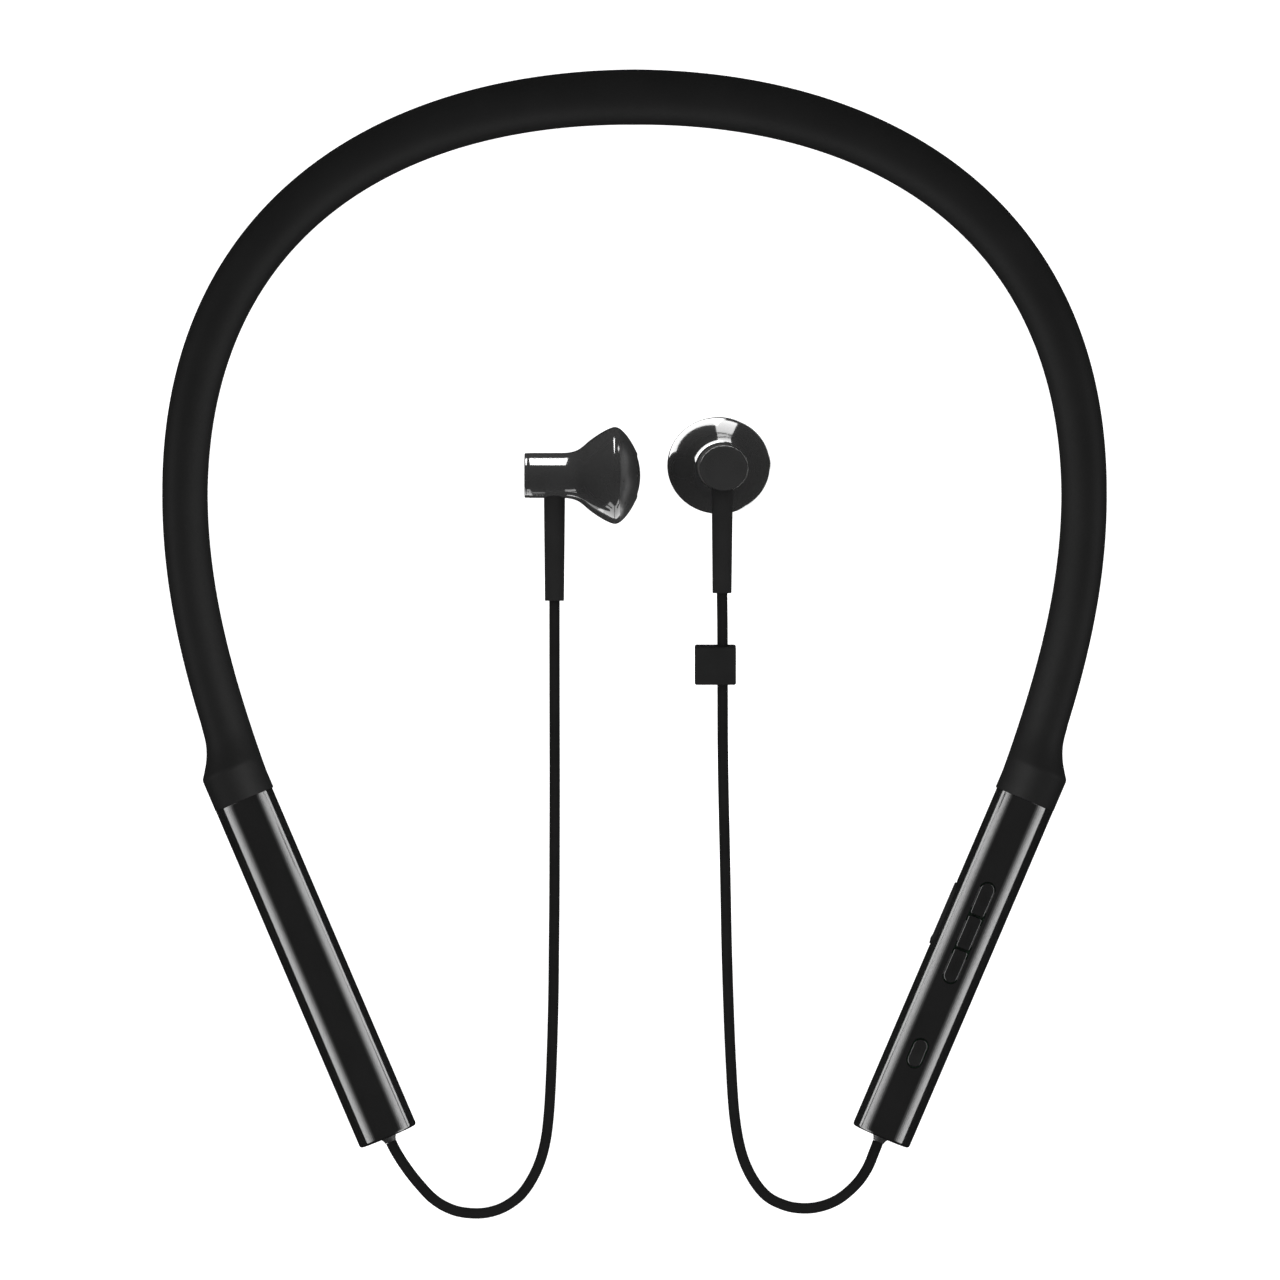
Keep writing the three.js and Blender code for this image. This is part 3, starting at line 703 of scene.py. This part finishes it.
def add_barrel_end(side):
    """The ring that closes a tube, and the flared grommet that the cord leaves by."""
    place = barrel_frame(side)
    face = -BARREL_LENGTH + 0.35
    depth = 4.0
    cap = [(1.6, face + depth), (3.55, face + depth), (3.55, face + 0.15),
           *corner((3.4, face + 0.15), 0.15, 0, -90, 4), (1.75, face), (1.6, face + 0.1)]
    settle(new_piece(f"barrel_{side}_end_cap", *turned(cap, 72, place, wrap=True), GLOSS),
           f"{side}_arm", "gloss_black", f"end_cap_{side}")
    flare = eased([(1.3, face + 0.6), (1.28, face + 0.1), (1.2, -BARREL_LENGTH - 0.1),
                   (1.0, -BARREL_LENGTH - 0.45), (0.88, -BARREL_LENGTH - 0.85)], 5)
    grommet = [(1.3, face + depth), *flare]
    settle(new_piece(f"barrel_{side}_grommet", *turned(grommet, 48, place), SATIN),
           f"{side}_arm", "satin_rubber", f"cord_grommet_{side}")


for side in SIDES:
    add_tube(side)
    add_barrel_end(side)
add_controls()


# ---------------------------------------------------------------- earbuds
OVAL = 1.07
BUD_SIDES = 112
SEAM = 9.25  # where the rear housing meets the front cover
FACE_START = 10.0  # the front cover is less polished from here on
TIP = 13.19
STEM_END = -4.6
# The pits of the grille, and its edge radius, mesh density and doming.
HOLE = {"pitch": 0.62, "radius": 0.2, "depth": 0.16, "blur": 0.05}
GRILLE = {"edge": 3.12, "sectors": 200, "rings": 52, "dome": 0.055}


def add_housing(side, place):
    """The stem and the back of the head, with a tongue that the front cover laps over."""
    outer = [(3.45, 1.0 - 4.7 * k / 12) for k in range(12, 0, -1)]
    outer += curve_line((3.45, 1.0), (3.45, 3.3), (4.09, 3.95), (4.9, 4.85), 16)[:-1]
    outer += curve_line((4.9, 4.85), (5.98, 6.05), (7.43, 8.4), (7.43, SEAM - 0.005), 24)
    tongue = [(7.42, SEAM), (7.15, SEAM), (7.15, SEAM + 0.3), (6.6, SEAM + 0.3), (6.6, SEAM)]
    inner = [(6.3, 8.1), (5.2, 6.4), (3.6, 4.6), (2.7, 3.3), (2.65, -3.9), (2.8, -3.93)]
    outline = [*corner((3.42, -3.93), 0.01, -90, 0, 2)[:-1], *outer, *tongue, *inner]
    piece = new_piece(f"earbud_{side}_housing",
                      *turned(outline, BUD_SIDES, place, OVAL, wrap=True), GLOSS)
    settle(piece, f"{side}_arm", "gloss_black", f"rear_housing_{side}")


def add_stem_cap(side, place):
    """The stem's end, with a shallow round dish in it."""
    outline = [(0.02, -3.0), (2.6, -3.0), (2.6, -3.945), (3.4, -3.945),
               *corner((3.42, -3.955), 0.01, 90, 0, 2),
               *corner((3.25, STEM_END + 0.18), 0.18, 0, -80, 6),
               (2.75, STEM_END + 0.02), (2.6, STEM_END + 0.1), (0.02, STEM_END + 0.1)]
    piece = new_piece(f"earbud_{side}_stem_cap", *turned(outline, BUD_SIDES, place, OVAL), GLOSS)
    settle(piece, f"{side}_arm", "gloss_black", f"stem_cap_{side}")


def add_front_cover(side, place):
    """The front of the head, with a recess for the tongue and a hole for the grille."""
    outer = curve_line((7.43, SEAM + 0.015), (7.43, 10.3), (5.6, 11.7), (3.3, 12.7), 40)
    outline = [(6.6, SEAM + 0.32), (7.17, SEAM + 0.32), (7.17, SEAM + 0.01),
               (7.42, SEAM + 0.01), *outer, (3.25, 12.68), (3.15, 12.6),
               (3.15, 12.3), (5.4, 10.9), (6.6, 9.8)]
    piece = new_piece(f"earbud_{side}_front",
                      *turned(outline, BUD_SIDES, place, OVAL, wrap=True), GLOSS)
    piece.data.materials.append(FRONT)
    back = place.inverted()
    for face in piece.data.polygons:
        if (back @ face.center).y > FACE_START * MM:
            face.material_index = 1
    settle(piece, f"{side}_arm", "gloss_black", f"front_cover_{side}")


def hole_depth(x, y):
    """How far a point on the grille is inside a pit, from 0 to 1."""
    pitch, radius, blur = HOLE["pitch"], HOLE["radius"], HOLE["blur"]
    row = pitch * math.sqrt(3) / 2
    nearest = math.inf
    base = round(y / row)
    for j in (base - 1, base, base + 1):
        shift = pitch / 2 * (j % 2)
        i = round((x - shift) / pitch)
        nearest = min(nearest, math.hypot(x - shift - i * pitch, y - j * row))
    return smoothstep(radius + blur, radius - blur, nearest)


def add_grille(side, place):
    """A thin domed cap with a honeycomb of pits, the mesh's holes, pressed into it."""
    edge, sectors, rings_in = GRILLE["edge"], GRILLE["sectors"], GRILLE["rings"]
    rings = [[place @ (Vector((edge * math.sin(a), 12.1, edge * math.cos(a) * OVAL)) * MM)
              for a in (math.tau * k / sectors for k in range(sectors))]]
    for i in range(rings_in):
        radius = edge * (1 - i / rings_in)
        ring = []
        for k in range(sectors):
            angle = math.tau * k / sectors
            x, z = radius * math.sin(angle), radius * math.cos(angle)
            dome = TIP - 0.05 - GRILLE["dome"] * radius ** 2
            holes = HOLE["depth"] * hole_depth(x, z)
            holes *= smoothstep(edge - 0.1, edge - 0.35, radius)
            ring.append(place @ (Vector((x, dome - holes, z * OVAL)) * MM))
        rings.append(ring)
    piece = new_piece(f"earbud_{side}_grille", *skin(rings), MESH_FINISH, sharp=40)
    settle(piece, f"{side}_arm", "steel", f"grille_{side}")


def add_strain_relief(side, place):
    """A slightly tapered sleeve with a square end, in which the cord sits."""
    start, end = 1.9, 19.2
    along = Matrix.Rotation(-math.pi / 2, 4, "Z")
    outline = [(1.62, start), (1.62, 3.2), (1.61, 4.8), (1.54, 12), (1.47, end - 0.12),
               *corner((1.35, end - 0.12), 0.12, 0, 90, 4), (0.95, end), (0.9, end - 0.25),
               (0.02, end - 0.25)]
    piece = new_piece(f"relief_{side}", *turned(outline, 48, place @ along), SATIN)
    settle(piece, f"{side}_arm", "satin_rubber", f"strain_relief_{side}")


for side in SIDES:
    earbud = earbud_frame(side)
    add_housing(side, earbud)
    add_stem_cap(side, earbud)
    add_front_cover(side, earbud)
    add_grille(side, earbud)
    add_strain_relief(side, earbud)


# ---------------------------------------------------------------- inner pieces
INNER = {
    "chassis": CARRIER, "band_joiner": STEEL, "spring_core": SPRING, "link_cable": CORD,
    "battery_cell": CELL, "protection_board": BOARD, "main_board": BOARD,
    "radio_shield_can": STEEL, "charging_socket": STEEL, "status_led": LENS_FINISH,
    "microphone": STEEL, "switch": STEEL, "driver_basket": STEEL, "driver_magnet": MAGNET,
    "diaphragm": FILM,
}


def finish_inner_pieces():
    """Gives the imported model's own inner pieces their materials."""
    for name, node in frame["nodes"].items():
        for start, material in INNER.items():
            if name.startswith(start):
                node.data.materials.clear()
                node.data.materials.append(material)


finish_inner_pieces()


# ---------------------------------------------------------------- floor and light
ROOM = 1.2  # the white room's radiance
FLOOR_GLOW = 0.7  # the table glows a little, like a light table


def add_floor():
    """A pale table that stays out of reflections and does not block the lights below it."""
    data = bpy.data.meshes.new("floor")
    half = 3.0
    data.from_pydata([(-half, -half, 0), (half, -half, 0), (half, half, 0), (-half, half, 0)],
                     [], [(0, 1, 2, 3)])
    floor = bpy.data.objects.new("floor", data)
    bpy.context.collection.objects.link(floor)
    paper = surface("floor_paper", grey(0.86), grey(0.88), (0.8, 0.9), patch=4, grain=800,
                    depth=0.01)
    shader = paper.node_tree.nodes["Principled BSDF"]
    shader.inputs["Emission Color"].default_value = (1, 1, 1, 1)
    shader.inputs["Emission Strength"].default_value = FLOOR_GLOW
    data.materials.append(paper)
    floor.visible_glossy = False
    floor.visible_shadow = False


def add_world():
    """A white room that lights the table; reflections see it as dark, paler overhead."""
    world = bpy.data.worlds.new("studio")
    bpy.context.scene.world = world
    world.use_nodes = True
    nodes, links = world.node_tree.nodes, world.node_tree.links
    room = nodes["Background"]
    room.inputs["Color"].default_value = (1, 1, 1, 1)
    room.inputs["Strength"].default_value = ROOM
    height = nodes.new("ShaderNodeSeparateXYZ")
    links.new(nodes.new("ShaderNodeTexCoord").outputs["Generated"], height.inputs["Vector"])
    shade = nodes.new("ShaderNodeValToRGB")
    shade.color_ramp.elements[0].position = 0.0
    shade.color_ramp.elements[0].color = (0.004, 0.004, 0.004, 1)
    shade.color_ramp.elements[1].position = 0.95
    shade.color_ramp.elements[1].color = (0.12, 0.12, 0.12, 1)
    links.new(height.outputs["Z"], shade.inputs["Fac"])
    dark = nodes.new("ShaderNodeBackground")
    links.new(shade.outputs["Color"], dark.inputs["Color"])
    mix = nodes.new("ShaderNodeMixShader")
    links.new(nodes.new("ShaderNodeLightPath").outputs["Is Glossy Ray"], mix.inputs["Fac"])
    links.new(room.outputs["Background"], mix.inputs[1])
    links.new(dark.outputs["Background"], mix.inputs[2])
    links.new(mix.outputs["Shader"], nodes["World Output"].inputs["Surface"])


def panel(name, at, outwards, up, size, radiance, lights_on):
    """A flat light at a place that lies outwards of the pieces it lights, of size (width,
    height). It lights only pieces whose names start with lights_on, and only they cast
    shadows in it; the camera misses it."""
    data = bpy.data.lights.new(name, "AREA")
    data.shape = "RECTANGLE"
    data.size, data.size_y = size
    data.energy = radiance * math.pi * size[0] * size[1]
    light = bpy.data.objects.new(name, data)
    axes = Matrix((up.cross(outwards), up, outwards)).transposed().to_4x4()
    light.matrix_world = Matrix.Translation(at) @ axes
    light.visible_camera = False
    bpy.context.collection.objects.link(light)
    lit = bpy.data.collections.new(name)
    for piece in bpy.context.scene.objects:
        if piece.name.startswith(lights_on):
            lit.objects.link(piece)
    light.light_linking.receiver_collection = lit
    light.light_linking.blocker_collection = lit


# How the names of the pieces of each barrel start.
BARRELS = {"left": ("barrel_left",), "right": ("barrel_right", "key_", "window_")}
BOX_AT = 0.9  # how far the side boxes stand from the middle
BOX_LENGTH = 1.7
# Each side box is a stack of panels, so that it dims upwards: the top in degrees from
# straight up as seen from the middle, and the radiance.
BOX_PANELS = [(48, 0.5), (55.5, 1.8), (63.5, 2.1), (71.5, 1.5)]
BOX_BOTTOM = 90.5
FAR_BOTTOM = 106  # the farther barrel sees more of the box below the table


def box_height(degrees):
    return BOX_AT / math.tan(math.radians(degrees))


def add_side_boxes():
    """A box on each side, made once for each barrel so that neither shades the other."""
    for side, sign in (("left", -1), ("right", 1)):
        for barrel, lights_on in BARRELS.items():
            low = box_height(BOX_BOTTOM if barrel == side else FAR_BOTTOM)
            for index, (top, radiance) in enumerate(BOX_PANELS):
                high = box_height(top)
                at = (sign * (BOX_AT + 0.01 * index), 0, (high + low) / 2)
                panel(f"box_{side}_{index}_on_{barrel}", at, Vector((sign, 0, 0)),
                      Vector((0, 0, 1)), (BOX_LENGTH, high - low), radiance, lights_on)


def add_rubber_lights():
    """Soft lights for the band: one over its middle, for the streak along its inner side, and
    a low one on each side."""
    up = Vector((0, 0, 1))
    panel("glow", (0, -0.04, 0.07), up, Vector((0, 1, 0)), (0.08, 0.09), 3.2, ("sleeve_",))
    for side, sign in (("left", -1), ("right", 1)):
        panel(f"glow_{side}", (sign * 0.5, -0.05, 0.15), Vector((sign, 0, 0)), up, (0.3, 0.16),
              3.0, ("sleeve_",))


CARD_REACH = 0.15  # from the earbud to its cards
# Cards by side: name, middle (azimuth, elevation) and size (across, upwards) in degrees as
# seen from the middle of the earbud's rim, and radiance.
CARDS = {
    "left": [
        ("crescent_rear", (-112, -14), (28, 46), 4.0),
        ("crescent_front", (-67, -15), (48, 48), 4.0),
        ("flank", (-138, -33), (24, 14), 1.5),
        ("stem_low", (-94, -14), (6, 10), 1.5),
        ("face", (0, -8), (64, 40), 1.2),
        ("spark", (49, 4), (10, 12), 10.0),
    ],
    "right": [
        ("band", (125, -36), (66, 28), 9.0),
        ("head", (81, -16), (24, 34), 8.0),
        ("arc_up", (42, -60), (34, 14), 4.0),
        ("arc_down", (-32, -60), (34, 14), 4.0),
    ],
}


def add_cards():
    """Reflectors for the earbuds. Some are below the level of the table."""
    panel("card_stem", (-0.018, 0.14, 0.037), Vector((0, 1, 0)), Vector((0, 0, 1)),
          (0.024, 0.104), 24, ("earbud_left",))
    for side, cards in CARDS.items():
        rim = earbud_frame(side) @ Vector((0, SEAM * MM, 0))
        for name, (azimuth, elevation), (across, upwards), radiance in cards:
            turn = (Matrix.Rotation(math.radians(azimuth), 3, "Z")
                    @ Matrix.Rotation(math.radians(-elevation), 3, "Y"))
            outwards, up = turn @ Vector((1, 0, 0)), turn @ Vector((0, 0, 1))
            size = [2 * CARD_REACH * math.tan(math.radians(a / 2)) for a in (across, upwards)]
            panel(f"card_{name}", rim + outwards * CARD_REACH, outwards, up, size, radiance,
                  (f"earbud_{side}",))


def add_lights():
    add_side_boxes()
    add_rubber_lights()
    add_cards()


def hide_from_reflections():
    """Barrels, cords and earbuds do not show in polished pieces, whose lights stay unbroken."""
    for piece in bpy.context.scene.objects:
        if piece.name.startswith(("barrel_", "cord_", "earbud_")):
            piece.visible_glossy = False


add_floor()
add_world()
add_lights()
hide_from_reflections()
bpy.context.scene.view_settings.view_transform = "Standard"
